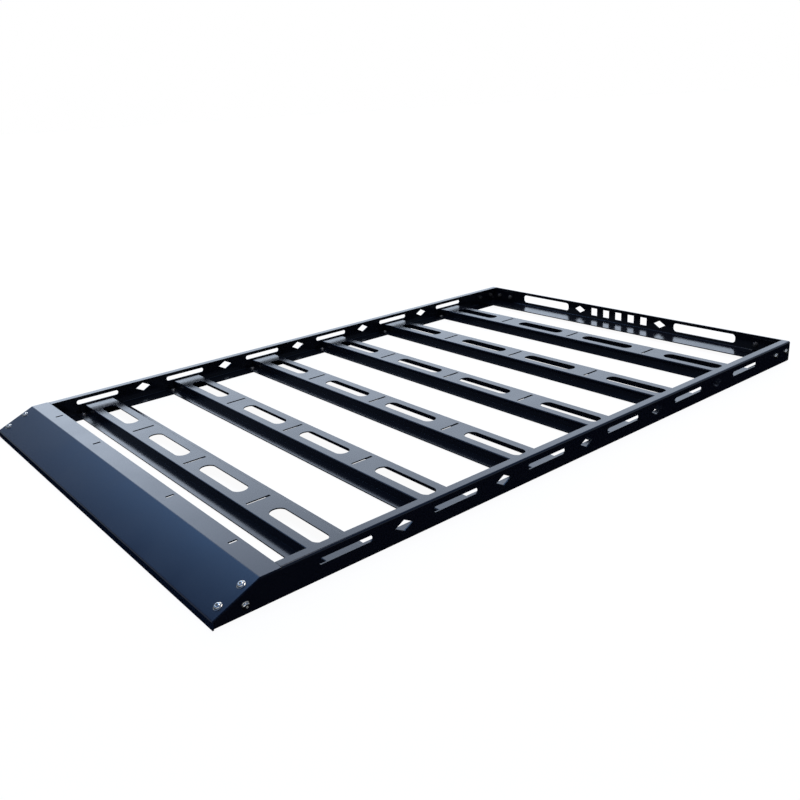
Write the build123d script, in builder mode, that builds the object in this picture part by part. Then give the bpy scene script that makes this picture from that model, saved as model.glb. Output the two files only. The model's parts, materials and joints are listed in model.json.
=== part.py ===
"""Flat platform roof rack, folded from sheet: side rails, a rear rail, a front fairing and crossbars.

X runs across the rack, -Y is the front with the fairing, +Z is up.
The origin is the middle of the footprint, on the plane that the rails rest on.
All sizes are in millimetres.
"""

import os
from math import atan2, cos, sin, tan

from build123d import *

# Overall sizes
overall_length = 1950
overall_width = 1250
rail_height = 62

# Sheet, folds and fits
sheet = 3
bend_radius = 2
corner_cut = 4
fit_gap = 0.7
paint_gap = 0.2

# Side rails: C-channels that open inwards
rail_top_flange = 24
rail_bottom_flange = 50
rail_slot_length = 126
rail_slot_width = 13
rail_slot_above_bar = 4
diamond_length = 46
diamond_height = 25
diamond_below_top = 27.5

# Fairing: top flange, slope and lip
fairing_flange = 45
fairing_run = 100
fairing_lip = 18
fairing_slit_length = 19
fairing_slit_width = 7.5
fairing_slit_setback = 17
fairing_slit_inner = 208
fairing_slit_land = 145

# Crossbars: hat sections that stand on the side rails' bottom flanges
bar_count = 6
first_bar_setback = 185
last_bar_setback = 255
bar_top_width = 85
bar_height = 25
bar_flange = 28
bar_slot_length = 190
bar_slot_width = 39
bar_slot_inner = 143
bar_end_land = 67
bar_slit_length = 59
bar_slit_width = 7.5

# Rear rail: web with a bottom flange, held clear of the plane that the rails rest on
rear_rail_floor = 10
rear_flange = 78
window_count = 5
window_size = 27
window_pitch = 53
rear_diamond_length = 46
rear_diamond_height = 26
rear_diamond_gap = 65
rear_slot_gap = 54
rear_slot_height = 28
rear_slot_radius = 11
rear_slot_land = 175
flange_slot_length = 42
flange_slot_width = 8
flange_slot_land = 115

# Leg bolts, through each crossbar's front flange and the side rail under it
leg_hole = 8.5
leg_bolt_inset = 25

# Corner brackets
front_bracket_width = 48
front_bracket_depth = 38
front_bracket_start = 10
front_bracket_length = 88
rear_bracket_side_leg = 95
rear_bracket_rear_leg = 115
rear_bracket_below_top = 8

# Derived places
front = -overall_length / 2
rear = overall_length / 2
half_width = overall_width / 2
inside_width = half_width - sheet
bend_line = front + fairing_run
fairing_edge = bend_line + fairing_flange
slope = atan2(rail_height - fairing_lip, fairing_run)
mid_bend = bend_radius + sheet / 2

bar_length = 2 * (inside_width - bend_radius - fit_gap)
bar_top = sheet + bar_height
first_bar = bend_line + first_bar_setback
bar_pitch = (rear - last_bar_setback - first_bar) / (bar_count - 1)
bar_places = [first_bar + n * bar_pitch for n in range(bar_count)]
bar_slot_outer = bar_length / 2 - bar_end_land - bar_slot_length / 2
bar_slit_outer = (bar_slot_inner + bar_slot_outer) / 2
leg_bolt_x = half_width - leg_bolt_inset
leg_bolt_y = -(bar_top_width + bar_flange) / 2
rail_slot_z = bar_top + rail_slot_above_bar + rail_slot_width / 2
diamond_z = rail_height - diamond_below_top

rear_flange_top = rear_rail_floor + sheet
window_z = (rear_flange_top + rail_height) / 2
rear_diamond_x = window_pitch * (window_count - 1) / 2 + rear_diamond_gap
rear_slot_inner = rear_diamond_x + rear_slot_gap
rear_slot_outer = half_width - rear_slot_land
rear_bracket_floor = rear_flange_top + bend_radius + paint_gap


def fairing_line(depth):
    """Corners of the fairing's profile in Y and Z, at a depth below its outer skin."""
    top = rail_height - depth
    bend = bend_line + depth * tan(slope / 2)
    nose = front + depth
    low = top - (bend - nose) * tan(slope)
    return [(fairing_edge, top), (bend, top), (nose, low), (nose, 0)]


# The fairing's slope, with local Y pointing up the slope and Z out of the sheet
slope_plane = Plane(
    origin=(0, bend_line, rail_height),
    x_dir=(1, 0, 0),
    z_dir=(0, -sin(slope), cos(slope)),
)

# The fairing is one folded sheet that spans both side rails
with BuildPart() as fairing:
    with BuildSketch(Plane.YZ) as fairing_profile:
        with BuildLine():
            FilletPolyline(*fairing_line(sheet / 2), radius=mid_bend)
        trace(line_width=sheet)
    extrude(amount=half_width, both=True)
    with BuildSketch(Plane.XY.offset(rail_height)) as fairing_slits:
        slit_outer = half_width - fairing_slit_land
        slit_y = fairing_edge - fairing_slit_setback
        slit_places = (-slit_outer, -fairing_slit_inner, fairing_slit_inner, slit_outer)
        with Locations(*[(x, slit_y) for x in slit_places]):
            Rectangle(fairing_slit_width, fairing_slit_length)
    extrude(amount=-2 * sheet, mode=Mode.SUBTRACT)
    back_corners = fairing.edges().filter_by(Axis.Z).group_by(Axis.Y)[-1]
    chamfer(back_corners, length=corner_cut)
fairing.part.label = "fairing"

# A side rail is a folded channel whose front is cut to the underside of the fairing
with BuildPart() as rail_right:
    with BuildSketch(Plane.XZ.offset(-rear)) as rail_profile:
        with BuildLine():
            web_x = half_width - sheet / 2
            FilletPolyline(
                (half_width - rail_top_flange, rail_height - sheet / 2),
                (web_x, rail_height - sheet / 2),
                (web_x, sheet / 2),
                (half_width - rail_bottom_flange, sheet / 2),
                radius=mid_bend,
            )
        trace(line_width=sheet)
    extrude(amount=overall_length - sheet - fit_gap)
    with BuildSketch(Plane.YZ.offset(half_width)) as fairing_room:
        with BuildLine():
            under = fairing_line(sheet + paint_gap)
            under[0] = (fairing_edge + fit_gap, under[0][1])
            FilletPolyline(*under, radius=bend_radius)
            Polyline(
                under[3],
                (front - sheet, 0),
                (front - sheet, rail_height + sheet),
                (under[0][0], rail_height + sheet),
                under[0],
            )
        make_face()
    extrude(amount=-rail_bottom_flange - sheet, mode=Mode.SUBTRACT)
    with BuildSketch(Plane.YZ.offset(half_width)) as rail_cutouts:
        with Locations(*[(y, rail_slot_z) for y in bar_places]):
            SlotOverall(rail_slot_length, rail_slot_width)
    extrude(amount=-2 * sheet, mode=Mode.SUBTRACT)
    with BuildSketch(Plane.YZ.offset(half_width)) as rail_diamonds:
        with Locations(*[(y + bar_pitch / 2, diamond_z) for y in bar_places[:-1]]):
            Polygon(
                (-diamond_length / 2, 0),
                (0, -diamond_height / 2),
                (diamond_length / 2, 0),
                (0, diamond_height / 2),
            )
    extrude(amount=-2 * sheet, mode=Mode.SUBTRACT)
    with BuildSketch(Plane.XY) as rail_leg_holes:
        with Locations(*[(leg_bolt_x, y + leg_bolt_y) for y in bar_places]):
            Circle(leg_hole / 2)
    extrude(amount=2 * sheet, mode=Mode.SUBTRACT)
rail_right.part.label = "side_rail_right"

with BuildPart() as rail_left:
    mirror(rail_right.part, about=Plane.YZ)
rail_left.part.label = "side_rail_left"

# The rear rail stands between the side rails, notched under their top flanges
with BuildPart() as rear_rail:
    with BuildSketch(Plane.YZ) as rear_profile:
        with BuildLine():
            FilletPolyline(
                (rear - rear_flange, rear_rail_floor + sheet / 2),
                (rear - sheet / 2, rear_rail_floor + sheet / 2),
                (rear - sheet / 2, rail_height),
                radius=mid_bend,
            )
        trace(line_width=sheet)
    extrude(amount=inside_width - fit_gap, both=True)
    with BuildSketch(Plane.XZ.offset(-rear)) as corner_notches:
        with Locations((-half_width, rail_height), (half_width, rail_height)):
            Rectangle(2 * (rail_top_flange + fit_gap), 2 * (sheet + fit_gap))
    extrude(amount=2 * sheet, mode=Mode.SUBTRACT)
    with BuildSketch(Plane.XZ.offset(-rear)) as rear_windows:
        with Locations((0, window_z)):
            with GridLocations(window_pitch, window_pitch, window_count, 1):
                Rectangle(window_size, window_size)
        for side in (-1, 1):
            with Locations((side * (rear_slot_inner + rear_slot_outer) / 2, window_z)):
                RectangleRounded(rear_slot_outer - rear_slot_inner, rear_slot_height, rear_slot_radius)
    extrude(amount=2 * sheet, mode=Mode.SUBTRACT)
    with BuildSketch(Plane.XZ.offset(-rear)) as rear_diamonds:
        with Locations((-rear_diamond_x, window_z), (rear_diamond_x, window_z)):
            Polygon(
                (-rear_diamond_length / 2, 0),
                (0, -rear_diamond_height / 2),
                (rear_diamond_length / 2, 0),
                (0, rear_diamond_height / 2),
            )
    extrude(amount=2 * sheet, mode=Mode.SUBTRACT)
    with BuildSketch(Plane.XY.offset(rear_rail_floor)) as flange_slots:
        slot_x = half_width - flange_slot_land
        slot_y = rear - (rear_flange + sheet) / 2
        with Locations((-slot_x, slot_y), (slot_x, slot_y)):
            SlotOverall(flange_slot_length, flange_slot_width)
    extrude(amount=2 * sheet, mode=Mode.SUBTRACT)
rear_rail.part.label = "rear_rail"

# One crossbar at the origin, then a copy of it at each place along the rails
with BuildPart() as bar:
    with BuildSketch(Plane.YZ) as bar_profile:
        with BuildLine():
            leg_y = bar_top_width / 2 - sheet
            foot_y = bar_top_width / 2 + bar_flange
            Polyline(
                (-foot_y, sheet),
                (-leg_y, sheet),
                (-leg_y, bar_top - sheet),
                (leg_y, bar_top - sheet),
                (leg_y, sheet),
                (foot_y, sheet),
            )
            offset(amount=sheet, side=Side.LEFT)
        make_face()
    extrude(amount=bar_length / 2, both=True)
    levels = bar.edges().filter_by(Axis.X).group_by(Axis.Z)
    outer_bends = levels[-1] + levels[0].sort_by(Axis.Y)[1:3]
    fillet(outer_bends, radius=sheet)
    with BuildSketch(Plane.XY.offset(bar_top)) as bar_cutouts:
        slot_places = (-bar_slot_outer, -bar_slot_inner, bar_slot_inner, bar_slot_outer)
        with Locations(*[(x, 0) for x in slot_places]):
            SlotOverall(bar_slot_length, bar_slot_width)
        with Locations((-bar_slit_outer, 0), (0, 0), (bar_slit_outer, 0)):
            Rectangle(bar_slit_width, bar_slit_length)
    extrude(amount=-2 * sheet, mode=Mode.SUBTRACT)
    with BuildSketch(Plane.XY) as bar_leg_holes:
        with Locations((-leg_bolt_x, leg_bolt_y), (leg_bolt_x, leg_bolt_y)):
            Circle(leg_hole / 2)
    extrude(amount=3 * sheet, mode=Mode.SUBTRACT)

bars = []
for number, place in enumerate(bar_places, start=1):
    with BuildPart() as crossbar:
        with Locations((0, place, 0)):
            add(bar.part)
    crossbar.part.label = f"crossbar_{number}"
    bars.append(crossbar.part)

# Front brackets: an angle along the slope, under the fairing and against the side rail's web
bracket_top = Plane(
    origin=slope_plane.from_local_coords((inside_width, -front_bracket_start, -sheet - paint_gap)),
    x_dir=(-1, 0, 0),
    z_dir=(0, -cos(slope), -sin(slope)),
)

with BuildPart() as front_bracket_right:
    with BuildSketch(bracket_top) as front_bracket_profile:
        with BuildLine():
            FilletPolyline(
                (sheet / 2, front_bracket_depth),
                (sheet / 2, sheet / 2),
                (front_bracket_width, sheet / 2),
                radius=mid_bend,
            )
        trace(line_width=sheet)
    extrude(amount=front_bracket_length)
    split(bisect_by=Plane.XY.offset(sheet + bend_radius), keep=Keep.TOP)
front_bracket_right.part.label = "front_bracket_right"

with BuildPart() as front_bracket_left:
    mirror(front_bracket_right.part, about=Plane.YZ)
front_bracket_left.part.label = "front_bracket_left"

# Rear brackets: an upright angle in each rear corner
with BuildPart() as rear_bracket_right:
    with BuildSketch(Plane.XY.offset(rear_bracket_floor)) as rear_bracket_profile:
        with BuildLine():
            FilletPolyline(
                (inside_width - sheet / 2, rear - sheet - rear_bracket_side_leg),
                (inside_width - sheet / 2, rear - sheet * 1.5),
                (inside_width - rear_bracket_rear_leg, rear - sheet * 1.5),
                radius=mid_bend,
            )
        trace(line_width=sheet)
    extrude(amount=rail_height - rear_bracket_below_top - rear_bracket_floor)
    side_end = rear_bracket_right.edges().filter_by(Axis.X).group_by(Axis.Y)[0]
    rear_end = rear_bracket_right.edges().filter_by(Axis.Y).group_by(Axis.X)[0]
    chamfer(side_end + rear_end, length=corner_cut)
rear_bracket_right.part.label = "rear_bracket_right"

with BuildPart() as rear_bracket_left:
    mirror(rear_bracket_right.part, about=Plane.YZ)
rear_bracket_left.part.label = "rear_bracket_left"

# Write one file for each piece
os.makedirs("parts", exist_ok=True)
single_pieces = [
    fairing.part,
    rail_left.part,
    rail_right.part,
    rear_rail.part,
    front_bracket_left.part,
    front_bracket_right.part,
    rear_bracket_left.part,
    rear_bracket_right.part,
]
for piece in single_pieces + bars:
    export_step(piece, f"parts/{piece.label}.step")
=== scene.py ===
"""Flat platform roof rack: powder-coat finishes, stainless fasteners, studio and camera.

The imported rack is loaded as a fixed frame, and everything here is placed from it, in metres.
X runs across the rack, -Y is the front with the fairing, and +Z is up.
"""

import json
import math
from functools import partial

import bmesh
import bpy
from bpy.props import FloatProperty, FloatVectorProperty, IntProperty, PointerProperty
from mathutils import Matrix, Vector


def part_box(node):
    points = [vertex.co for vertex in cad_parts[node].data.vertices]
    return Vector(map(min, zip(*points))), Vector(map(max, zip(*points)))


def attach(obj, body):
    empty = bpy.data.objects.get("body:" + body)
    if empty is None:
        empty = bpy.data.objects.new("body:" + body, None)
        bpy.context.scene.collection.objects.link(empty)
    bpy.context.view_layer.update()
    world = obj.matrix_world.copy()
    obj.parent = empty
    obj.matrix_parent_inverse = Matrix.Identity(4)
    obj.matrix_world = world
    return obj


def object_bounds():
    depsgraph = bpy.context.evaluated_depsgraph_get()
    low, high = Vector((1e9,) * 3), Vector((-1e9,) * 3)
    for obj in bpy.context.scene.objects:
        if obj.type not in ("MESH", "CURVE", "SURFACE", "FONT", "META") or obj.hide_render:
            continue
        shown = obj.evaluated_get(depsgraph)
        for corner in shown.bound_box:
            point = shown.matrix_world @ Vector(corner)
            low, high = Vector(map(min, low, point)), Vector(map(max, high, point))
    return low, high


bl_info = {
    "name": "Platform Roof Rack Looks",
    "version": (1, 0, 0),
    "blender": (4, 5, 0),
    "location": "3D View > Sidebar > Roof Rack",
    "description": "Coats, fastens and lights a flat platform roof rack",
    "category": "Object",
}

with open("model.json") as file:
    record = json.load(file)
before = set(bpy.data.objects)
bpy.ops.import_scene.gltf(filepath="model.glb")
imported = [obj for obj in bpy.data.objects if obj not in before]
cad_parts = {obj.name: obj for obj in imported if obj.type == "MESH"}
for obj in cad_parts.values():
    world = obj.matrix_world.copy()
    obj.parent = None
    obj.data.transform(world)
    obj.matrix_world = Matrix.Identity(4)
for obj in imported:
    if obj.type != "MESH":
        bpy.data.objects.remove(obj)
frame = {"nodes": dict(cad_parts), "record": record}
CAD_LOW, CAD_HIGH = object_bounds()
MOUNTS = {mount["name"]: mount for mount in frame["record"]["mounts"]}

BODY = "root"
SIDES = (-1, 1)
UP = Vector((0, 0, 1))
WHITE = (1.0, 1.0, 1.0)
MILLIMETRE = 0.001

SIDE_RAILS = ("side_rail_left", "side_rail_right")
REAR_RAIL = "rear_rail"
FAIRING = "fairing"
FRONT_BRACKETS = ("front_bracket_left", "front_bracket_right")
REAR_BRACKETS = ("rear_bracket_left", "rear_bracket_right")
CROSSBARS = tuple(sorted(name for name in frame["nodes"] if name.startswith("crossbar_")))
LEG_PATTERNS = ("front_leg_bolts", "middle_leg_bolts", "rear_leg_bolts")

# The crossbars stand on the side rails' bottom flanges, so their underside shows the sheet's thickness
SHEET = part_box(CROSSBARS[0])[0].z
# Two sheets lie on each other wherever a bolt goes through
TWO_SHEETS = 2 * SHEET

# Side of the square picture in pixels, and width of the camera's sensor in millimetres
PHOTO_SIDE = 800
SENSOR = 36.0


class CoatSettings(bpy.types.PropertyGroup):
    """Colours and surface of the powder coat."""

    rail_colour: FloatVectorProperty(
        name="Rail colour", description="Coat on the side rails, the rear rail and the brackets",
        subtype="COLOR", size=3, min=0, max=1, default=(0.0014, 0.002, 0.0045))
    bar_colour: FloatVectorProperty(
        name="Crossbar colour", description="Coat on the crossbars",
        subtype="COLOR", size=3, min=0, max=1, default=(0.0012, 0.002, 0.0052))
    # Painted reflection: the fairing's own dark coat is made bluer than the rails and crossbars, a painted
    # tint of the blue sky its slope mirrors
    fairing_coat_and_sky_tint: FloatVectorProperty(
        name="Fairing colour", description="Coat on the fairing",
        subtype="COLOR", size=3, min=0, max=1, default=(0.002, 0.005, 0.014))
    # Painted highlight: the lighter edge colour is partly rubbed wear and partly stands in for light
    # catching the rounded edges
    rub_and_highlight_colour: FloatVectorProperty(
        name="Rubbed edge colour", description="Coat where handling has polished the sheet's edges",
        subtype="COLOR", size=3, min=0, max=1, default=(0.022, 0.024, 0.029))
    dust_colour: FloatVectorProperty(
        name="Dust colour", description="Thin dust on faces that look up",
        subtype="COLOR", size=3, min=0, max=1, default=(0.30, 0.31, 0.33))
    roughness: FloatProperty(
        name="Roughness", description="Satin roughness of the coat",
        subtype="FACTOR", min=0, max=1, default=0.2)
    gloss_spread: FloatProperty(
        name="Gloss spread", description="How far the roughness strays over the coat",
        subtype="FACTOR", min=0, max=1, default=0.05)
    shine: FloatProperty(
        name="Shine", description="Specular level of the coat",
        subtype="FACTOR", min=0, max=1, default=0.5)
    grain_size: FloatProperty(
        name="Grain size", description="Width of one pimple of the coat",
        unit="LENGTH", min=0.0001, default=0.0007)
    grain_depth: FloatProperty(
        name="Grain depth", description="Height of the coat's pimples",
        unit="LENGTH", min=0, default=0.000004)
    edge_round: FloatProperty(
        name="Edge rounding", description="Radius to which the coat rounds the sheet's edges",
        unit="LENGTH", min=0.0001, default=0.0003)
    dust: FloatProperty(
        name="Dust", description="Share of dust where it lies thickest",
        subtype="FACTOR", min=0, max=1, default=0.005)
    dust_dulling: FloatProperty(
        name="Dust dulling", description="Roughness that dust adds, for each share of it",
        min=0, default=2.0)


class FastenerSettings(bpy.types.PropertyGroup):
    """Steel, sizes and places of the button-head bolts and their nuts."""

    steel_colour: FloatVectorProperty(
        name="Steel colour", description="Stainless steel of the bolts that face outwards",
        subtype="COLOR", size=3, min=0, max=1, default=(0.74, 0.67, 0.56))
    steel_roughness: FloatProperty(
        name="Steel roughness", description="Roughness of the bolts that face outwards",
        subtype="FACTOR", min=0, max=1, default=0.13)
    # Painted shade: the nuts and leg bolts get a far darker steel than the outward bolts, standing in for
    # the shade they lie in
    shaded_steel_colour: FloatVectorProperty(
        name="Dull steel colour", description="Stainless steel of the nuts and the leg bolts",
        subtype="COLOR", size=3, min=0, max=1, default=(0.17, 0.155, 0.14))
    dull_roughness: FloatProperty(
        name="Dull steel roughness", description="Roughness of the nuts and the leg bolts",
        subtype="FACTOR", min=0, max=1, default=0.38)
    collar_radius: FloatProperty(
        name="Collar radius", description="Radius of the collar under a bolt's head",
        unit="LENGTH", default=0.0088)
    collar_height: FloatProperty(
        name="Collar height", description="Thickness of the collar at its rim",
        unit="LENGTH", default=0.0009)
    head_radius: FloatProperty(
        name="Head radius", description="Radius of a bolt's button head",
        unit="LENGTH", default=0.0074)
    head_height: FloatProperty(
        name="Head height", description="Height of a bolt's head with its collar",
        unit="LENGTH", default=0.0048)
    socket_width: FloatProperty(
        name="Socket width", description="Hex socket, across flats",
        unit="LENGTH", default=0.005)
    socket_depth: FloatProperty(
        name="Socket depth", description="Depth of the hex socket",
        unit="LENGTH", default=0.0026)
    shank_radius: FloatProperty(
        name="Shank radius", description="Radius of a bolt's shank",
        unit="LENGTH", default=0.004)
    nut_width: FloatProperty(
        name="Nut width", description="Hex nut, across flats",
        unit="LENGTH", default=0.013)
    nut_height: FloatProperty(
        name="Nut height", description="Height of a hex nut",
        unit="LENGTH", default=0.0065)
    washer_radius: FloatProperty(
        name="Washer radius", description="Outer radius of a washer",
        unit="LENGTH", default=0.008)
    washer_height: FloatProperty(
        name="Washer height", description="Thickness of a washer",
        unit="LENGTH", default=0.0015)
    thread_end: FloatProperty(
        name="Thread end", description="How far a bolt stands out of its nut",
        unit="LENGTH", default=0.0022)
    paint_gap: FloatProperty(
        name="Paint gap", description="Room for paint between two sheets",
        unit="LENGTH", default=0.0002)
    segments: IntProperty(
        name="Segments", description="Points round a bolt or nut, a multiple of 12",
        min=12, default=36)
    fairing_flange: FloatProperty(
        name="Fairing flange", description="Depth of the fairing's top flange",
        unit="LENGTH", default=0.045)
    fairing_lip: FloatProperty(
        name="Fairing lip", description="Height of the fairing's front lip",
        unit="LENGTH", default=0.018)
    slope_inset: FloatProperty(
        name="Slope bolt inset", description="Slope bolts, in from the rack's side",
        unit="LENGTH", default=0.019)
    slope_first: FloatProperty(
        name="Upper slope bolt", description="Distance down the slope from the bend",
        unit="LENGTH", default=0.030)
    slope_second: FloatProperty(
        name="Lower slope bolt", description="Distance down the slope from the bend",
        unit="LENGTH", default=0.083)
    side_setback: FloatProperty(
        name="Side bolt setback", description="Front side bolt, back from the front edge",
        unit="LENGTH", default=0.067)
    side_height: FloatProperty(
        name="Side bolt height", description="Front side bolt, above the floor",
        unit="LENGTH", default=0.019)
    corner_height: FloatProperty(
        name="Corner bolt height", description="Rear corner bolts, above the floor",
        unit="LENGTH", default=0.034)
    corner_side_first: FloatProperty(
        name="Rear side bolt", description="Rear bolt of a side rail, from the rear face",
        unit="LENGTH", default=0.021)
    corner_side_second: FloatProperty(
        name="Next side bolt", description="Second bolt of a side rail, from the rear face",
        unit="LENGTH", default=0.080)
    corner_rear_first: FloatProperty(
        name="Outer rear bolt", description="Outer bolt of the rear rail, from the rack's side",
        unit="LENGTH", default=0.046)
    corner_rear_second: FloatProperty(
        name="Inner rear bolt", description="Inner bolt of the rear rail, from the rack's side",
        unit="LENGTH", default=0.104)


class StudioSettings(bpy.types.PropertyGroup):
    """Floor, light and camera."""

    floor_colour: FloatVectorProperty(
        name="Floor colour", description="Tone of the floor's surface, under its own glow",
        subtype="COLOR", size=3, min=0, max=1, default=(0.08, 0.08, 0.08))
    floor_radius: FloatProperty(
        name="Floor radius", description="Radius of the round floor",
        unit="LENGTH", default=40.0)
    floor_glow: FloatProperty(
        name="Floor glow", description="Light of the floor itself, which keeps it and its shadows pale",
        min=0, default=0.95)
    ground_colour: FloatVectorProperty(
        name="Ground colour", description="Faint light that comes from below",
        subtype="COLOR", size=3, min=0, max=1, default=(0.004, 0.004, 0.006))
    horizon_colour: FloatVectorProperty(
        name="Horizon colour", description="Light that comes in low from all round",
        subtype="COLOR", size=3, min=0, max=1, default=(0.72, 0.84, 1.0))
    zenith_colour: FloatVectorProperty(
        name="Zenith colour", description="Light that comes from overhead",
        subtype="COLOR", size=3, min=0, max=1, default=(0.18, 0.36, 0.85))
    room_strength: FloatProperty(
        name="Room strength", description="Strength of the light from all round",
        min=0, default=0.45)
    front_colour: FloatVectorProperty(
        name="Front colour", description="Blue light that the fairing's slope mirrors",
        subtype="COLOR", size=3, min=0, max=1, default=(0.28, 0.53, 1.0))
    front_strength: FloatProperty(
        name="Front strength", description="Strength of the blue light",
        min=0, default=5.0)
    glow_colour: FloatVectorProperty(
        name="Glow colour", description="Pale glow behind the far side of the rack, and the fill",
        subtype="COLOR", size=3, min=0, max=1, default=(0.76, 0.86, 1.0))
    glow_strength: FloatProperty(
        name="Glow strength", description="Strength of the pale glow",
        min=0, default=2.35)
    fill_strength: FloatProperty(
        name="Fill strength", description="Strength of the pale light from the front right",
        min=0, default=0.6)
    softbox_strength: FloatProperty(
        name="Softbox strength", description="Power of the softbox above the rack",
        unit="POWER", min=0, default=70.0)
    softbox_size: FloatProperty(
        name="Softbox size", description="Side of the square softbox",
        unit="LENGTH", min=0, default=2.6)
    softbox_place: FloatVectorProperty(
        name="Softbox place", description="Middle of the softbox",
        subtype="TRANSLATION", size=3, default=(-0.4, 0.2, 4.5))
    azimuth: FloatProperty(
        name="Camera azimuth", description="Turn of the camera from the front towards the right-hand side",
        subtype="ANGLE", default=math.radians(51.532))
    elevation: FloatProperty(
        name="Camera elevation", description="Height of the camera above the horizon",
        subtype="ANGLE", default=math.radians(20.152))
    roll: FloatProperty(
        name="Camera roll", description="Tilt of the camera about its own axis",
        subtype="ANGLE", default=math.radians(-3.503))
    distance: FloatProperty(
        name="Camera distance", description="Camera to the point that it looks at",
        unit="LENGTH", default=2.4318)
    aim: FloatVectorProperty(
        name="Camera aim", description="Point that the camera looks at",
        subtype="TRANSLATION", size=3, default=(-0.0066, -0.0389, 0.0))
    focal_pixels: FloatProperty(
        name="Focal length", description="Focal length in pixels of the square picture",
        subtype="PIXEL", default=840.7)


# Node helpers

# Places of the sockets of a Mix node that blends colours
MIX_SHARE, MIX_FIRST, MIX_SECOND, MIX_RESULT = 0, 6, 7, 2
# Nearly all values of a noise lie between these
NOISE_LOW, NOISE_HIGH = 0.3, 0.7


def add_node(tree, kind, **settings):
    """A new node of a kind, with its own settings."""
    node = tree.nodes.new(kind)
    for name, value in settings.items():
        setattr(node, name, value)
    return node


def connect(tree, value, socket):
    """Links a socket to its source, or sets it where the value is a plain one."""
    if isinstance(value, bpy.types.NodeSocket):
        tree.links.new(value, socket)
    else:
        socket.default_value = value


def feed(tree, node, **inputs):
    """Links or sets a node's inputs by name; underscores stand for spaces."""
    for name, value in inputs.items():
        connect(tree, value, node.inputs[name.replace("_", " ")])
    return node


def calculate(tree, operation, *values, clamp=False):
    """The output of a Math node on sockets or numbers."""
    node = add_node(tree, "ShaderNodeMath", operation=operation, use_clamp=clamp)
    for value, socket in zip(values, node.inputs):
        connect(tree, value, socket)
    return node.outputs[0]


def product(tree, first, *others):
    """Sockets or numbers multiplied together."""
    for other in others:
        first = calculate(tree, "MULTIPLY", first, other)
    return first


def ramp(tree, value, start, end, low=0.0, high=1.0):
    """A smooth step from low, where the value is at its start or before, to high, from its end on."""
    node = add_node(tree, "ShaderNodeMapRange", interpolation_type="SMOOTHSTEP")
    feed(tree, node, Value=value, From_Min=start, From_Max=end, To_Min=low, To_Max=high)
    return node.outputs["Result"]


def fade(tree, value, start, end):
    """A smooth step from one down to nothing."""
    return ramp(tree, value, start, end, low=1.0, high=0.0)


def opaque(colour):
    """A colour of three parts with full cover, as a socket takes it."""
    return (*colour, 1.0)


def blend_colour(tree, share, first, second):
    """A mix of two colours by a share; each colour is a socket or has three parts."""
    node = add_node(tree, "ShaderNodeMix", data_type="RGBA")
    connect(tree, share, node.inputs[MIX_SHARE])
    for colour, place in ((first, MIX_FIRST), (second, MIX_SECOND)):
        value = colour if isinstance(colour, bpy.types.NodeSocket) else opaque(colour)
        connect(tree, value, node.inputs[place])
    return node.outputs[MIX_RESULT]


def noise(tree, waves, detail=2.0, roughness=0.5, stretch=(1, 1, 1)):
    """A noise in the rack's own coordinates, of so many waves a metre."""
    place = add_node(tree, "ShaderNodeTexCoord").outputs["Object"]
    mapping = feed(tree, add_node(tree, "ShaderNodeMapping"), Vector=place, Scale=stretch)
    texture = add_node(tree, "ShaderNodeTexNoise")
    feed(tree, texture, Vector=mapping.outputs["Vector"], Scale=waves, Detail=detail, Roughness=roughness)
    return texture.outputs["Fac"]


def swing(tree, value):
    """A noise brought to run from half below nothing to half above."""
    return ramp(tree, value, NOISE_LOW, NOISE_HIGH, low=-0.5, high=0.5)


def new_group(name, inputs, outputs):
    """A shader node group with named number inputs and typed outputs."""
    tree = bpy.data.node_groups.new(name, "ShaderNodeTree")
    for label, default in inputs:
        socket = tree.interface.new_socket(name=label, in_out="INPUT", socket_type="NodeSocketFloat")
        socket.default_value = default
    for label, kind in outputs:
        tree.interface.new_socket(name=label, in_out="OUTPUT", socket_type=kind)
    return tree, tree.nodes.new("NodeGroupInput"), tree.nodes.new("NodeGroupOutput")


def place_group(tree, name, **inputs):
    """A group placed in a material with its own values."""
    node = add_node(tree, "ShaderNodeGroup", node_tree=bpy.data.node_groups[name])
    return feed(tree, node, **inputs)


# Shared surface effects

def make_coat_grain():
    """Fine pimples of a powder coat on slow waves, and soft patches of more and less gloss."""
    tree, given, out = new_group(
        "coat_grain", [("Waves", 900.0)],
        [("Height", "NodeSocketFloat"), ("Gloss", "NodeSocketFloat")])
    slow_share = 0.16
    slow_height = 1.6
    pimples = noise(tree, given.outputs["Waves"])
    slow = noise(tree, calculate(tree, "MULTIPLY", given.outputs["Waves"], slow_share), detail=1.0)
    height = calculate(tree, "ADD", pimples, calculate(tree, "MULTIPLY", slow, slow_height))
    patches = noise(tree, waves=9.0, detail=3.0)
    feed(tree, out, Height=height, Gloss=swing(tree, patches))


def make_edge_rub_and_highlight():
    """A mask along the sheet's edges, in patches, for rubbed wear and a painted edge highlight, and a
    normal that rounds them.
    """
    tree, given, out = new_group(
        "edge_rub_and_highlight", [("Radius", 0.001)],
        [("Mask", "NodeSocketFloat"), ("Normal", "NodeSocketVector")])
    bevel = feed(tree, add_node(tree, "ShaderNodeBevel", samples=6), Radius=given.outputs["Radius"])
    flat = add_node(tree, "ShaderNodeNewGeometry").outputs["Normal"]
    match = add_node(tree, "ShaderNodeVectorMath", operation="DOT_PRODUCT")
    tree.links.new(bevel.outputs["Normal"], match.inputs[0])
    tree.links.new(flat, match.inputs[1])
    turned = calculate(tree, "SUBTRACT", 1.0, match.outputs["Value"], clamp=True)
    on_edge = ramp(tree, turned, start=0.02, end=0.3)
    in_patch = ramp(tree, noise(tree, waves=35.0, detail=4.0), start=0.4, end=0.65)
    feed(tree, out, Mask=product(tree, on_edge, in_patch), Normal=bevel.outputs["Normal"])


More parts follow.
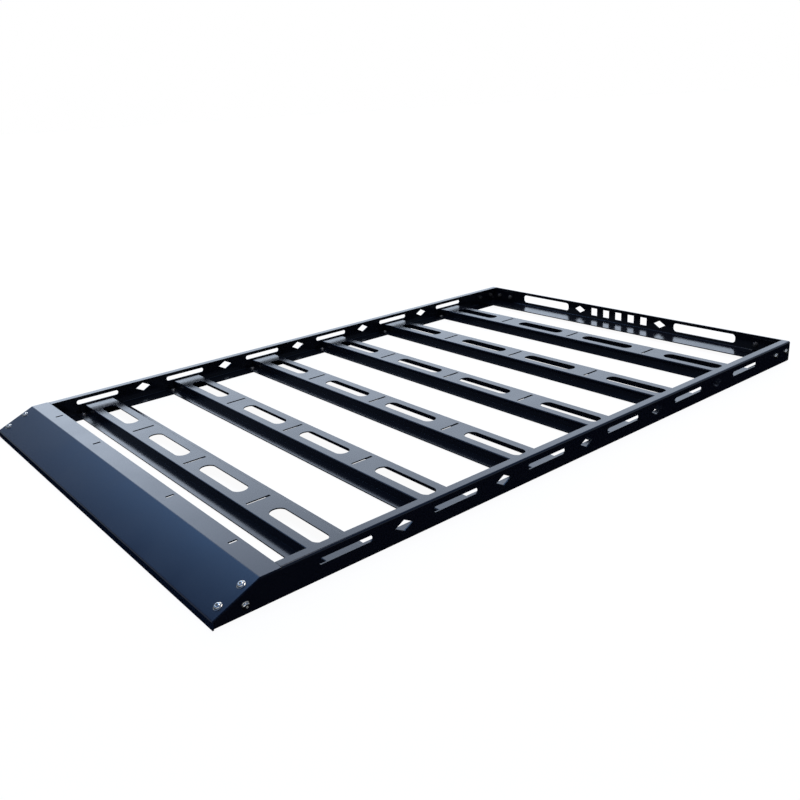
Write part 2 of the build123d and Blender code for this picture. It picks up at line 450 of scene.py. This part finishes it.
def make_settled_dust():
    """A mask of thin dust, in soft patches on faces that look up."""
    tree, given, out = new_group("settled_dust", [("Amount", 0.02)], [("Mask", "NodeSocketFloat")])
    level = add_node(tree, "ShaderNodeSeparateXYZ")
    tree.links.new(add_node(tree, "ShaderNodeNewGeometry").outputs["Normal"], level.inputs[0])
    facing = ramp(tree, level.outputs["Z"], start=0.35, end=0.95)
    cloud = ramp(tree, noise(tree, waves=6.0, detail=5.0, roughness=0.6), start=0.35, end=0.75, low=0.25)
    speck = ramp(tree, noise(tree, waves=420.0), start=0.55, end=0.75, low=0.4)
    feed(tree, out, Mask=product(tree, facing, cloud, speck, given.outputs["Amount"]))


def make_steel_marks():
    """Fine tool marks and handling smears of stainless steel."""
    tree, given, out = new_group(
        "steel_marks", [("Waves", 1800.0)],
        [("Height", "NodeSocketFloat"), ("Gloss", "NodeSocketFloat"), ("Tone", "NodeSocketFloat")])
    marks = noise(tree, given.outputs["Waves"], detail=3.0, roughness=0.6, stretch=(1.0, 1.0, 4.0))
    smears = noise(tree, waves=160.0, detail=3.0)
    feed(tree, out, Height=marks, Gloss=swing(tree, smears), Tone=ramp(tree, smears, start=0.25, end=0.75))


EFFECTS = {
    "coat_grain": make_coat_grain,
    "edge_rub_and_highlight": make_edge_rub_and_highlight,
    "settled_dust": make_settled_dust,
    "steel_marks": make_steel_marks,
}


def need_effects(*names):
    """Builds each named effect the first time that a material needs it."""
    for name in names:
        if name not in bpy.data.node_groups:
            EFFECTS[name]()


# Materials

def new_material(name):
    """An empty material with its surface shader linked to its output."""
    material = bpy.data.materials.new(name)
    material.use_nodes = True
    tree = material.node_tree
    tree.nodes.clear()
    shader = add_node(tree, "ShaderNodeBsdfPrincipled")
    output = add_node(tree, "ShaderNodeOutputMaterial")
    tree.links.new(shader.outputs["BSDF"], output.inputs["Surface"])
    return material, tree, shader


def powder_coat(name, colour, coat):
    """Satin powder coat: grain, softly rounded edges lightened as rubbed wear and painted highlight, and a
    trace of dust.
    """
    if name in bpy.data.materials:
        return bpy.data.materials[name]
    need_effects("coat_grain", "edge_rub_and_highlight", "settled_dust")
    material, tree, shader = new_material(name)
    grain = place_group(tree, "coat_grain", Waves=1.0 / coat.grain_size)
    edge = place_group(tree, "edge_rub_and_highlight", Radius=coat.edge_round)
    dust = place_group(tree, "settled_dust", Amount=coat.dust)
    # Painted highlight: edges are lightened towards the rubbed-edge colour, partly as wear, partly as a
    # painted edge highlight
    rubbed_and_highlit = blend_colour(tree, edge.outputs["Mask"], colour, coat.rub_and_highlight_colour)
    tinted = blend_colour(tree, dust.outputs["Mask"], rubbed_and_highlit, coat.dust_colour)
    clean = calculate(tree, "MULTIPLY_ADD", grain.outputs["Gloss"], coat.gloss_spread, coat.roughness)
    rough = calculate(tree, "MULTIPLY_ADD", dust.outputs["Mask"], coat.dust_dulling, clean, clamp=True)
    bump = add_node(tree, "ShaderNodeBump")
    feed(tree, bump, Strength=1.0, Distance=coat.grain_depth, Height=grain.outputs["Height"],
         Normal=edge.outputs["Normal"])
    feed(tree, shader, Base_Color=tinted, Roughness=rough, Normal=bump.outputs["Normal"],
         Specular_IOR_Level=coat.shine)
    return material


def stainless_steel(name, colour, roughness):
    """Stainless steel with fine marks, smears and eased edges."""
    if name in bpy.data.materials:
        return bpy.data.materials[name]
    need_effects("steel_marks", "edge_rub_and_highlight")
    smear_tone = 0.82
    gloss_spread = 0.08
    mark_depth = 0.00001
    material, tree, shader = new_material(name)
    marks = place_group(tree, "steel_marks", Waves=1800.0)
    edge = place_group(tree, "edge_rub_and_highlight", Radius=0.00025)
    smeared = [smear_tone * part for part in colour]
    tone = blend_colour(tree, marks.outputs["Tone"], colour, smeared)
    rough = calculate(tree, "MULTIPLY_ADD", marks.outputs["Gloss"], gloss_spread, roughness)
    bump = add_node(tree, "ShaderNodeBump")
    feed(tree, bump, Strength=0.35, Distance=mark_depth, Height=marks.outputs["Height"],
         Normal=edge.outputs["Normal"])
    feed(tree, shader, Base_Color=tone, Roughness=rough, Metallic=1.0, Normal=bump.outputs["Normal"])
    return material


def bright_steel(fasteners):
    """Polished steel of the bolts that face outwards."""
    return stainless_steel("polished_stainless", fasteners.steel_colour, fasteners.steel_roughness)


def dull_shaded_steel(fasteners):
    """Unpolished steel of the nuts and the leg bolts, its colour darkened as painted shade."""
    return stainless_steel("dull_shaded_stainless", fasteners.shaded_steel_colour, fasteners.dull_roughness)


def pale_floor(studio):
    """Matt pale floor with a very slight mottle."""
    mottle_tone = 0.985
    material, tree, shader = new_material("pale_floor")
    mottle = ramp(tree, noise(tree, waves=1.4, detail=4.0), NOISE_LOW, NOISE_HIGH)
    darker = [mottle_tone * part for part in studio.floor_colour]
    feed(tree, shader, Base_Color=blend_colour(tree, mottle, darker, studio.floor_colour), Roughness=0.75,
         Specular_IOR_Level=0.1, Emission_Color=opaque(WHITE), Emission_Strength=studio.floor_glow)
    return material


def coat_nodes(names, material):
    """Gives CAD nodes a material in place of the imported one."""
    for name in names:
        node = frame["nodes"][name]
        node.data.materials.clear()
        node.data.materials.append(material)


# Fastener meshes

# Degrees from one corner of a hexagon to the next
HEX_TURN = 60
# Faces that meet at more than this keep a sharp edge between them
SHARP_ANGLE = math.radians(32)


def hex_radius(angle, width):
    """Distance from the axis to the side of a hexagon of a width across flats."""
    sector = math.radians(HEX_TURN)
    return width / 2 / math.cos((angle + sector / 2) % sector - sector / 2)


def ring_points(segments, radius, height, width=None):
    """Points of a round ring, or of a hexagonal one where a width across flats is given."""
    turns = [2 * math.pi * step / segments for step in range(segments)]
    reach = [min(radius, hex_radius(turn, width)) if width else radius for turn in turns]
    return [Vector((r * math.cos(turn), r * math.sin(turn), height)) for r, turn in zip(reach, turns)]


def skin_rings(mesh, rings, placement):
    """Faces between rings in turn, closed at both ends."""
    loops = [[mesh.verts.new(placement @ point) for point in ring] for ring in rings]
    for low, high in zip(loops, loops[1:]):
        for step in range(len(low)):
            following = (step + 1) % len(low)
            mesh.faces.new((low[step], low[following], high[following], high[step]))
    mesh.faces.new(list(reversed(loops[0])))
    mesh.faces.new(loops[-1])


def dome_rings(size):
    """Rings of a button head: collar, dome, and down into the hex socket."""
    ring = partial(ring_points, size.segments)
    foot_radius = 0.98 * size.collar_radius
    edge_radius = 0.97 * size.collar_radius
    wall_low = 0.3 * size.collar_height
    wall_high = 0.8 * size.collar_height
    rim_height = 1.35 * size.collar_height
    flat_radius = 0.52 * size.head_radius
    dome_steps = 7
    socket_corner = size.socket_width / math.sqrt(3)
    socket_mouth = 1.04 * socket_corner
    socket_top = 0.96 * size.head_height
    socket_floor = size.head_height - size.socket_depth
    drill_radius = 0.3 * socket_corner
    drill_depth = 0.1 * size.head_height
    rings = [
        ring(foot_radius, 0.0),
        ring(size.collar_radius, wall_low),
        ring(size.collar_radius, wall_high),
        ring(edge_radius, size.collar_height),
        ring(size.head_radius, rim_height),
    ]
    for step in range(1, dome_steps + 1):
        turn = math.pi / 2 * step / dome_steps
        radius = flat_radius + (size.head_radius - flat_radius) * math.cos(turn)
        height = rim_height + (size.head_height - rim_height) * math.sin(turn)
        rings.append(ring(radius, height))
    rings += [
        ring(socket_mouth, size.head_height),
        ring(socket_corner, socket_top, size.socket_width),
        ring(socket_corner, socket_floor, size.socket_width),
        ring(drill_radius, socket_floor - drill_depth),
    ]
    return rings


def nut_rings(size):
    """Rings of a hex nut with chamfered corners and the bolt's end standing out of it."""
    ring = partial(ring_points, size.segments)
    corner = size.nut_width / math.sqrt(3)
    face_radius = 0.95 * size.nut_width / 2
    chamfer = 0.16 * size.nut_height
    top = size.nut_height
    thread = size.shank_radius
    mouth_radius = 1.12 * thread
    mouth_depth = 0.0005
    tip_chamfer = 0.0006
    tip = top + size.thread_end
    return [
        ring(face_radius, 0.0),
        ring(corner, chamfer, size.nut_width),
        ring(corner, top - chamfer, size.nut_width),
        ring(face_radius, top),
        ring(mouth_radius, top),
        ring(thread, top - mouth_depth),
        ring(thread, tip - tip_chamfer),
        ring(thread - tip_chamfer, tip),
    ]


def washer_rings(size):
    """Rings of a flat washer with eased edges; its middle is closed, because the nut covers it."""
    ring = partial(ring_points, size.segments)
    ease = 0.15 * size.washer_height
    return [
        ring(size.washer_radius - ease, 0.0),
        ring(size.washer_radius, ease),
        ring(size.washer_radius, size.washer_height - ease),
        ring(size.washer_radius - ease, size.washer_height),
    ]


def stand_on(point, normal, spin=0.0):
    """The placement of something that stands on a face at a point."""
    turn = normal.normalized().to_track_quat("Z", "Y").to_matrix().to_4x4()
    return Matrix.Translation(point) @ turn @ Matrix.Rotation(spin, 4, "Z")


def spin_of(index):
    """A different turn for each bolt, as a fitter would leave them."""
    turn_step = 23
    return math.radians(turn_step * index % HEX_TURN)


def steel_piece(name, build, steel):
    """A stainless piece made by a function that fills a mesh, carried by the rack."""
    mesh = bmesh.new()
    build(mesh)
    bmesh.ops.recalc_face_normals(mesh, faces=mesh.faces)
    data = bpy.data.meshes.new(name)
    mesh.to_mesh(data)
    mesh.free()
    data.shade_smooth()
    data.set_sharp_from_angle(angle=SHARP_ANGLE)
    data.materials.append(steel)
    piece = bpy.data.objects.new(name, data)
    bpy.context.scene.collection.objects.link(piece)
    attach(piece, BODY)


def add_heads(name, places, size):
    """Button heads on faces, given as points with outward normals."""
    def build(mesh):
        for index, (point, normal) in enumerate(places):
            skin_rings(mesh, dome_rings(size), stand_on(point, normal, spin_of(index)))

    steel_piece(name, build, bright_steel(size))


def add_nuts(name, places, size):
    """Washers and nuts on faces, given as points with outward normals, turned unlike the heads."""
    spin_shift = 2

    def build(mesh):
        for index, (point, normal) in enumerate(places):
            skin_rings(mesh, washer_rings(size), stand_on(point, normal))
            lifted = point + normal.normalized() * size.washer_height
            skin_rings(mesh, nut_rings(size), stand_on(lifted, normal, spin_of(index + spin_shift)))

    # Painted shade: the nuts are made in the darkened steel
    steel_piece(name, build, dull_shaded_steel(size))


def add_leg_bolts(name, points, size):
    """Bolts that stand up through the crossbars' front flanges, with their shanks below."""
    clear_of_floor = 0.0002

    def build(mesh):
        for index, point in enumerate(points):
            seat = point + UP * TWO_SHEETS
            skin_rings(mesh, dome_rings(size), stand_on(seat, UP, spin_of(index)))
            shank = [ring_points(size.segments, size.shank_radius, z) for z in (clear_of_floor, TWO_SHEETS)]
            skin_rings(mesh, shank, Matrix.Translation(point))

    # Painted shade: the leg bolts are made in the darkened steel
    steel_piece(name, build, dull_shaded_steel(size))


# Fastener places

def slope_bolt_faces(size):
    """Points on the fairing's slope, with its outward normal."""
    low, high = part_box(FAIRING)
    bend = Vector((0, high.y - size.fairing_flange, high.z))
    nose = Vector((0, low.y, size.fairing_lip))
    down = (nose - bend).normalized()
    normal = Vector((1, 0, 0)).cross(-down).normalized()
    faces = []
    for side in SIDES:
        top = bend + Vector((side * (high.x - size.slope_inset), 0, 0))
        faces += [(top + down * along, normal) for along in (size.slope_first, size.slope_second)]
    return faces


def side_bolt_faces(size):
    """Points on the outer faces of the side rails, near the front."""
    y = CAD_LOW.y + size.side_setback
    return [(Vector((side * CAD_HIGH.x, y, size.side_height)), Vector((side, 0, 0))) for side in SIDES]


def corner_bolt_faces(size):
    """Points on the outer faces of both rear corners."""
    faces = []
    for side in SIDES:
        for setback in (size.corner_side_first, size.corner_side_second):
            point = Vector((side * CAD_HIGH.x, CAD_HIGH.y - setback, size.corner_height))
            faces.append((point, Vector((side, 0, 0))))
        for inset in (size.corner_rear_first, size.corner_rear_second):
            point = Vector((side * (CAD_HIGH.x - inset), CAD_HIGH.y, size.corner_height))
            faces.append((point, Vector((0, 1, 0))))
    return faces


def behind(faces, depth):
    """The opposite faces, at a depth below the given ones."""
    return [(point - normal * depth, -normal) for point, normal in faces]


def leg_bolt_points():
    """Points of the leg bolts in the plane of the floor, from the record's bolt patterns."""
    points = []
    for name in LEG_PATTERNS:
        middle = Vector(MOUNTS[name]["pos_m"])
        sizes = MOUNTS[name]["dims"]
        across = sizes["spacing_x_mm"] * MILLIMETRE / 2
        along = sizes["spacing_y_mm"] * MILLIMETRE / 2
        points += [middle + Vector((sx * across, sy * along, 0)) for sx in SIDES for sy in SIDES]
    return points


# Stage

def lay_floor(studio):
    """A round pale floor under the rack, which the coat does not mirror."""
    mesh = bmesh.new()
    bmesh.ops.create_circle(mesh, cap_ends=True, radius=studio.floor_radius, segments=96)
    data = bpy.data.meshes.new("studio_floor")
    mesh.to_mesh(data)
    mesh.free()
    data.materials.append(pale_floor(studio))
    floor = bpy.data.objects.new("studio_floor", data)
    floor.visible_glossy = False
    bpy.context.scene.collection.objects.link(floor)


def above_horizon(tree, height):
    """One above the horizon, and nothing below it."""
    return ramp(tree, height, start=-0.02, end=0.04)


def room_colour(tree, height, studio):
    """Colour of the light from all round, by its height: ground, horizon and zenith."""
    sky = blend_colour(
        tree, ramp(tree, height, start=0.1, end=0.65), studio.horizon_colour, studio.zenith_colour)
    return blend_colour(tree, ramp(tree, height, start=-0.12, end=0.02), studio.ground_colour, sky)


def far_glow(tree, across, along, height, strength):
    """Strength of the wide glow behind the far left corner, most where the fairing's flange mirrors it."""
    return product(
        tree,
        fade(tree, across, start=-0.92, end=0.45),
        ramp(tree, along, start=-0.08, end=0.25),
        above_horizon(tree, height),
        fade(tree, height, start=0.36, end=0.8),
        ramp(tree, height, start=0.25, end=0.4, low=0.69, high=1.03),
        ramp(tree, along, start=0.22, end=0.42, low=1.35, high=1.0),
        strength)


def front_light(tree, across, along, height, strength):
    """Strength of the narrow blue light that the fairing's slope mirrors, least towards the nose."""
    return product(
        tree,
        ramp(tree, along, start=-0.175, end=-0.035),
        fade(tree, along, start=-0.08, end=0.08),
        ramp(tree, height, start=0.3, end=0.75),
        fade(tree, across, start=-0.65, end=-0.4),
        strength)


def front_fill(tree, across, along, height, strength):
    """Strength of the low fill from the front right."""
    return product(
        tree,
        ramp(tree, across, start=-0.1, end=0.35),
        fade(tree, along, start=-0.05, end=0.3),
        above_horizon(tree, height),
        fade(tree, height, start=0.4, end=0.85),
        strength)


def background(tree, colour, strength):
    """The output of a Background shader."""
    shader = feed(tree, add_node(tree, "ShaderNodeBackground"), Color=colour, Strength=strength)
    return shader.outputs["Background"]


def light_room(studio):
    """Light from all round with a glow, a blue light and a fill; the camera sees a white backdrop."""
    world = bpy.data.worlds.new("studio_room")
    world.use_nodes = True
    bpy.context.scene.world = world
    tree = world.node_tree
    tree.nodes.clear()
    direction = add_node(tree, "ShaderNodeSeparateXYZ")
    tree.links.new(add_node(tree, "ShaderNodeTexCoord").outputs["Generated"], direction.inputs[0])
    across, along, height = direction.outputs
    lights = (
        (opaque(studio.glow_colour), far_glow(tree, across, along, height, studio.glow_strength)),
        (opaque(studio.front_colour), front_light(tree, across, along, height, studio.front_strength)),
        (opaque(studio.glow_colour), front_fill(tree, across, along, height, studio.fill_strength)),
    )
    all_round = background(tree, room_colour(tree, height, studio), studio.room_strength)
    for colour, strength in lights:
        total = add_node(tree, "ShaderNodeAddShader")
        tree.links.new(all_round, total.inputs[0])
        tree.links.new(background(tree, colour, strength), total.inputs[1])
        all_round = total.outputs[0]
    seen = add_node(tree, "ShaderNodeLightPath").outputs["Is Camera Ray"]
    backdrop = background(tree, opaque(WHITE), strength=1.0)
    mix = add_node(tree, "ShaderNodeMixShader")
    for socket, source in zip(mix.inputs, (seen, all_round, backdrop)):
        tree.links.new(source, socket)
    output = add_node(tree, "ShaderNodeOutputWorld")
    tree.links.new(mix.outputs[0], output.inputs["Surface"])


def hang_softbox(studio):
    """A square softbox above the rack."""
    light = bpy.data.lights.new("overhead_softbox", "AREA")
    light.shape = "SQUARE"
    light.size = studio.softbox_size
    light.energy = studio.softbox_strength
    lamp = bpy.data.objects.new("overhead_softbox", light)
    lamp.location = studio.softbox_place
    lamp.visible_camera = False
    bpy.context.scene.collection.objects.link(lamp)


def place_camera(studio):
    """The camera at the photograph's angle, in a square frame."""
    azimuth, elevation, roll = studio.azimuth, studio.elevation, studio.roll
    back = Vector((
        math.sin(azimuth) * math.cos(elevation),
        -math.cos(azimuth) * math.cos(elevation),
        math.sin(elevation)))
    level = UP.cross(back).normalized()
    upright = back.cross(level)
    right = level * math.cos(roll) + upright * math.sin(roll)
    top = upright * math.cos(roll) - level * math.sin(roll)
    data = bpy.data.cameras.new("photo_camera")
    data.sensor_width = SENSOR
    data.lens = SENSOR * studio.focal_pixels / PHOTO_SIDE
    data.clip_start = 0.05
    data.clip_end = 200.0
    camera = bpy.data.objects.new("photo_camera", data)
    turn = Matrix((right, top, back)).transposed().to_4x4()
    camera.matrix_world = Matrix.Translation(Vector(studio.aim) + back * studio.distance) @ turn
    bpy.context.scene.collection.objects.link(camera)
    bpy.context.scene.camera = camera


# Operators

class RACK_OT_coat_fairing(bpy.types.Operator):
    """Coat the front fairing"""

    bl_idname = "rack.coat_fairing"
    bl_label = "Coat Fairing"

    def execute(self, context):
        coat = context.scene.rack_coat
        # Painted reflection: the fairing's coat carries a painted blue sky tint
        coat_nodes([FAIRING], powder_coat("coat_fairing", coat.fairing_coat_and_sky_tint, coat))
        return {"FINISHED"}


class RACK_OT_coat_rails(bpy.types.Operator):
    """Coat the side rails and the rear rail"""

    bl_idname = "rack.coat_rails"
    bl_label = "Coat Rails"

    def execute(self, context):
        coat = context.scene.rack_coat
        coat_nodes([*SIDE_RAILS, REAR_RAIL], powder_coat("coat_rails", coat.rail_colour, coat))
        return {"FINISHED"}


class RACK_OT_coat_crossbars(bpy.types.Operator):
    """Coat the crossbars"""

    bl_idname = "rack.coat_crossbars"
    bl_label = "Coat Crossbars"

    def execute(self, context):
        coat = context.scene.rack_coat
        coat_nodes(CROSSBARS, powder_coat("coat_crossbars", coat.bar_colour, coat))
        return {"FINISHED"}


class RACK_OT_coat_brackets(bpy.types.Operator):
    """Coat the corner brackets"""

    bl_idname = "rack.coat_brackets"
    bl_label = "Coat Brackets"

    def execute(self, context):
        coat = context.scene.rack_coat
        coat_nodes([*FRONT_BRACKETS, *REAR_BRACKETS], powder_coat("coat_brackets", coat.rail_colour, coat))
        return {"FINISHED"}


class RACK_OT_add_fairing_bolts(bpy.types.Operator):
    """Add the bolts and nuts that hold the fairing to its brackets and the brackets to the side rails"""

    bl_idname = "rack.add_fairing_bolts"
    bl_label = "Add Fairing Bolts"

    def execute(self, context):
        size = context.scene.rack_fasteners
        slope, side = slope_bolt_faces(size), side_bolt_faces(size)
        add_heads("fairing_bolts", slope + side, size)
        under = behind(slope, TWO_SHEETS + size.paint_gap) + behind(side, TWO_SHEETS)
        add_nuts("fairing_nuts", under, size)
        return {"FINISHED"}


class RACK_OT_add_corner_bolts(bpy.types.Operator):
    """Add the bolts and nuts of the rear corners"""

    bl_idname = "rack.add_corner_bolts"
    bl_label = "Add Corner Bolts"

    def execute(self, context):
        size = context.scene.rack_fasteners
        faces = corner_bolt_faces(size)
        add_heads("corner_bolts", faces, size)
        add_nuts("corner_nuts", behind(faces, TWO_SHEETS), size)
        return {"FINISHED"}


class RACK_OT_add_leg_bolts(bpy.types.Operator):
    """Add the bolts that stand in the crossbars' front flanges"""

    bl_idname = "rack.add_leg_bolts"
    bl_label = "Add Leg Bolts"

    def execute(self, context):
        add_leg_bolts("leg_bolts", leg_bolt_points(), context.scene.rack_fasteners)
        return {"FINISHED"}


class RACK_OT_set_stage(bpy.types.Operator):
    """Lay the floor, set the lights and place the camera"""

    bl_idname = "rack.set_stage"
    bl_label = "Set Stage"

    def execute(self, context):
        studio = context.scene.rack_studio
        lay_floor(studio)
        light_room(studio)
        hang_softbox(studio)
        place_camera(studio)
        context.scene.view_settings.view_transform = "Standard"
        return {"FINISHED"}


class RACK_PT_looks(bpy.types.Panel):
    """Settings and steps of the rack's looks"""

    bl_idname = "RACK_PT_looks"
    bl_label = "Roof Rack"
    bl_space_type = "VIEW_3D"
    bl_region_type = "UI"
    bl_category = "Roof Rack"

    def draw(self, context):
        layout = self.layout
        for group in SETTINGS:
            settings = getattr(context.scene, group)
            box = layout.box()
            for name in settings.__annotations__:
                box.prop(settings, name)
        for operator in OPERATORS:
            layout.operator(operator.bl_idname)


SETTINGS = {
    "rack_coat": CoatSettings,
    "rack_fasteners": FastenerSettings,
    "rack_studio": StudioSettings,
}
OPERATORS = (
    RACK_OT_coat_fairing,
    RACK_OT_coat_rails,
    RACK_OT_coat_crossbars,
    RACK_OT_coat_brackets,
    RACK_OT_add_fairing_bolts,
    RACK_OT_add_corner_bolts,
    RACK_OT_add_leg_bolts,
    RACK_OT_set_stage,
)


def register():
    """Registers the classes and hangs the settings on the scene."""
    for kind in (*SETTINGS.values(), *OPERATORS, RACK_PT_looks):
        bpy.utils.register_class(kind)
    for name, kind in SETTINGS.items():
        setattr(bpy.types.Scene, name, PointerProperty(type=kind))


def unregister():
    """Takes the settings off the scene and removes the classes."""
    for name in SETTINGS:
        delattr(bpy.types.Scene, name)
    for kind in (RACK_PT_looks, *reversed(OPERATORS), *reversed(SETTINGS.values())):
        bpy.utils.unregister_class(kind)


def main():
    """Registers the add-on and runs each step in order."""
    register()
    bpy.ops.rack.coat_fairing()
    bpy.ops.rack.coat_rails()
    bpy.ops.rack.coat_crossbars()
    bpy.ops.rack.coat_brackets()
    bpy.ops.rack.add_fairing_bolts()
    bpy.ops.rack.add_corner_bolts()
    bpy.ops.rack.add_leg_bolts()
    bpy.ops.rack.set_stage()


if __name__ == "__main__":
    main()
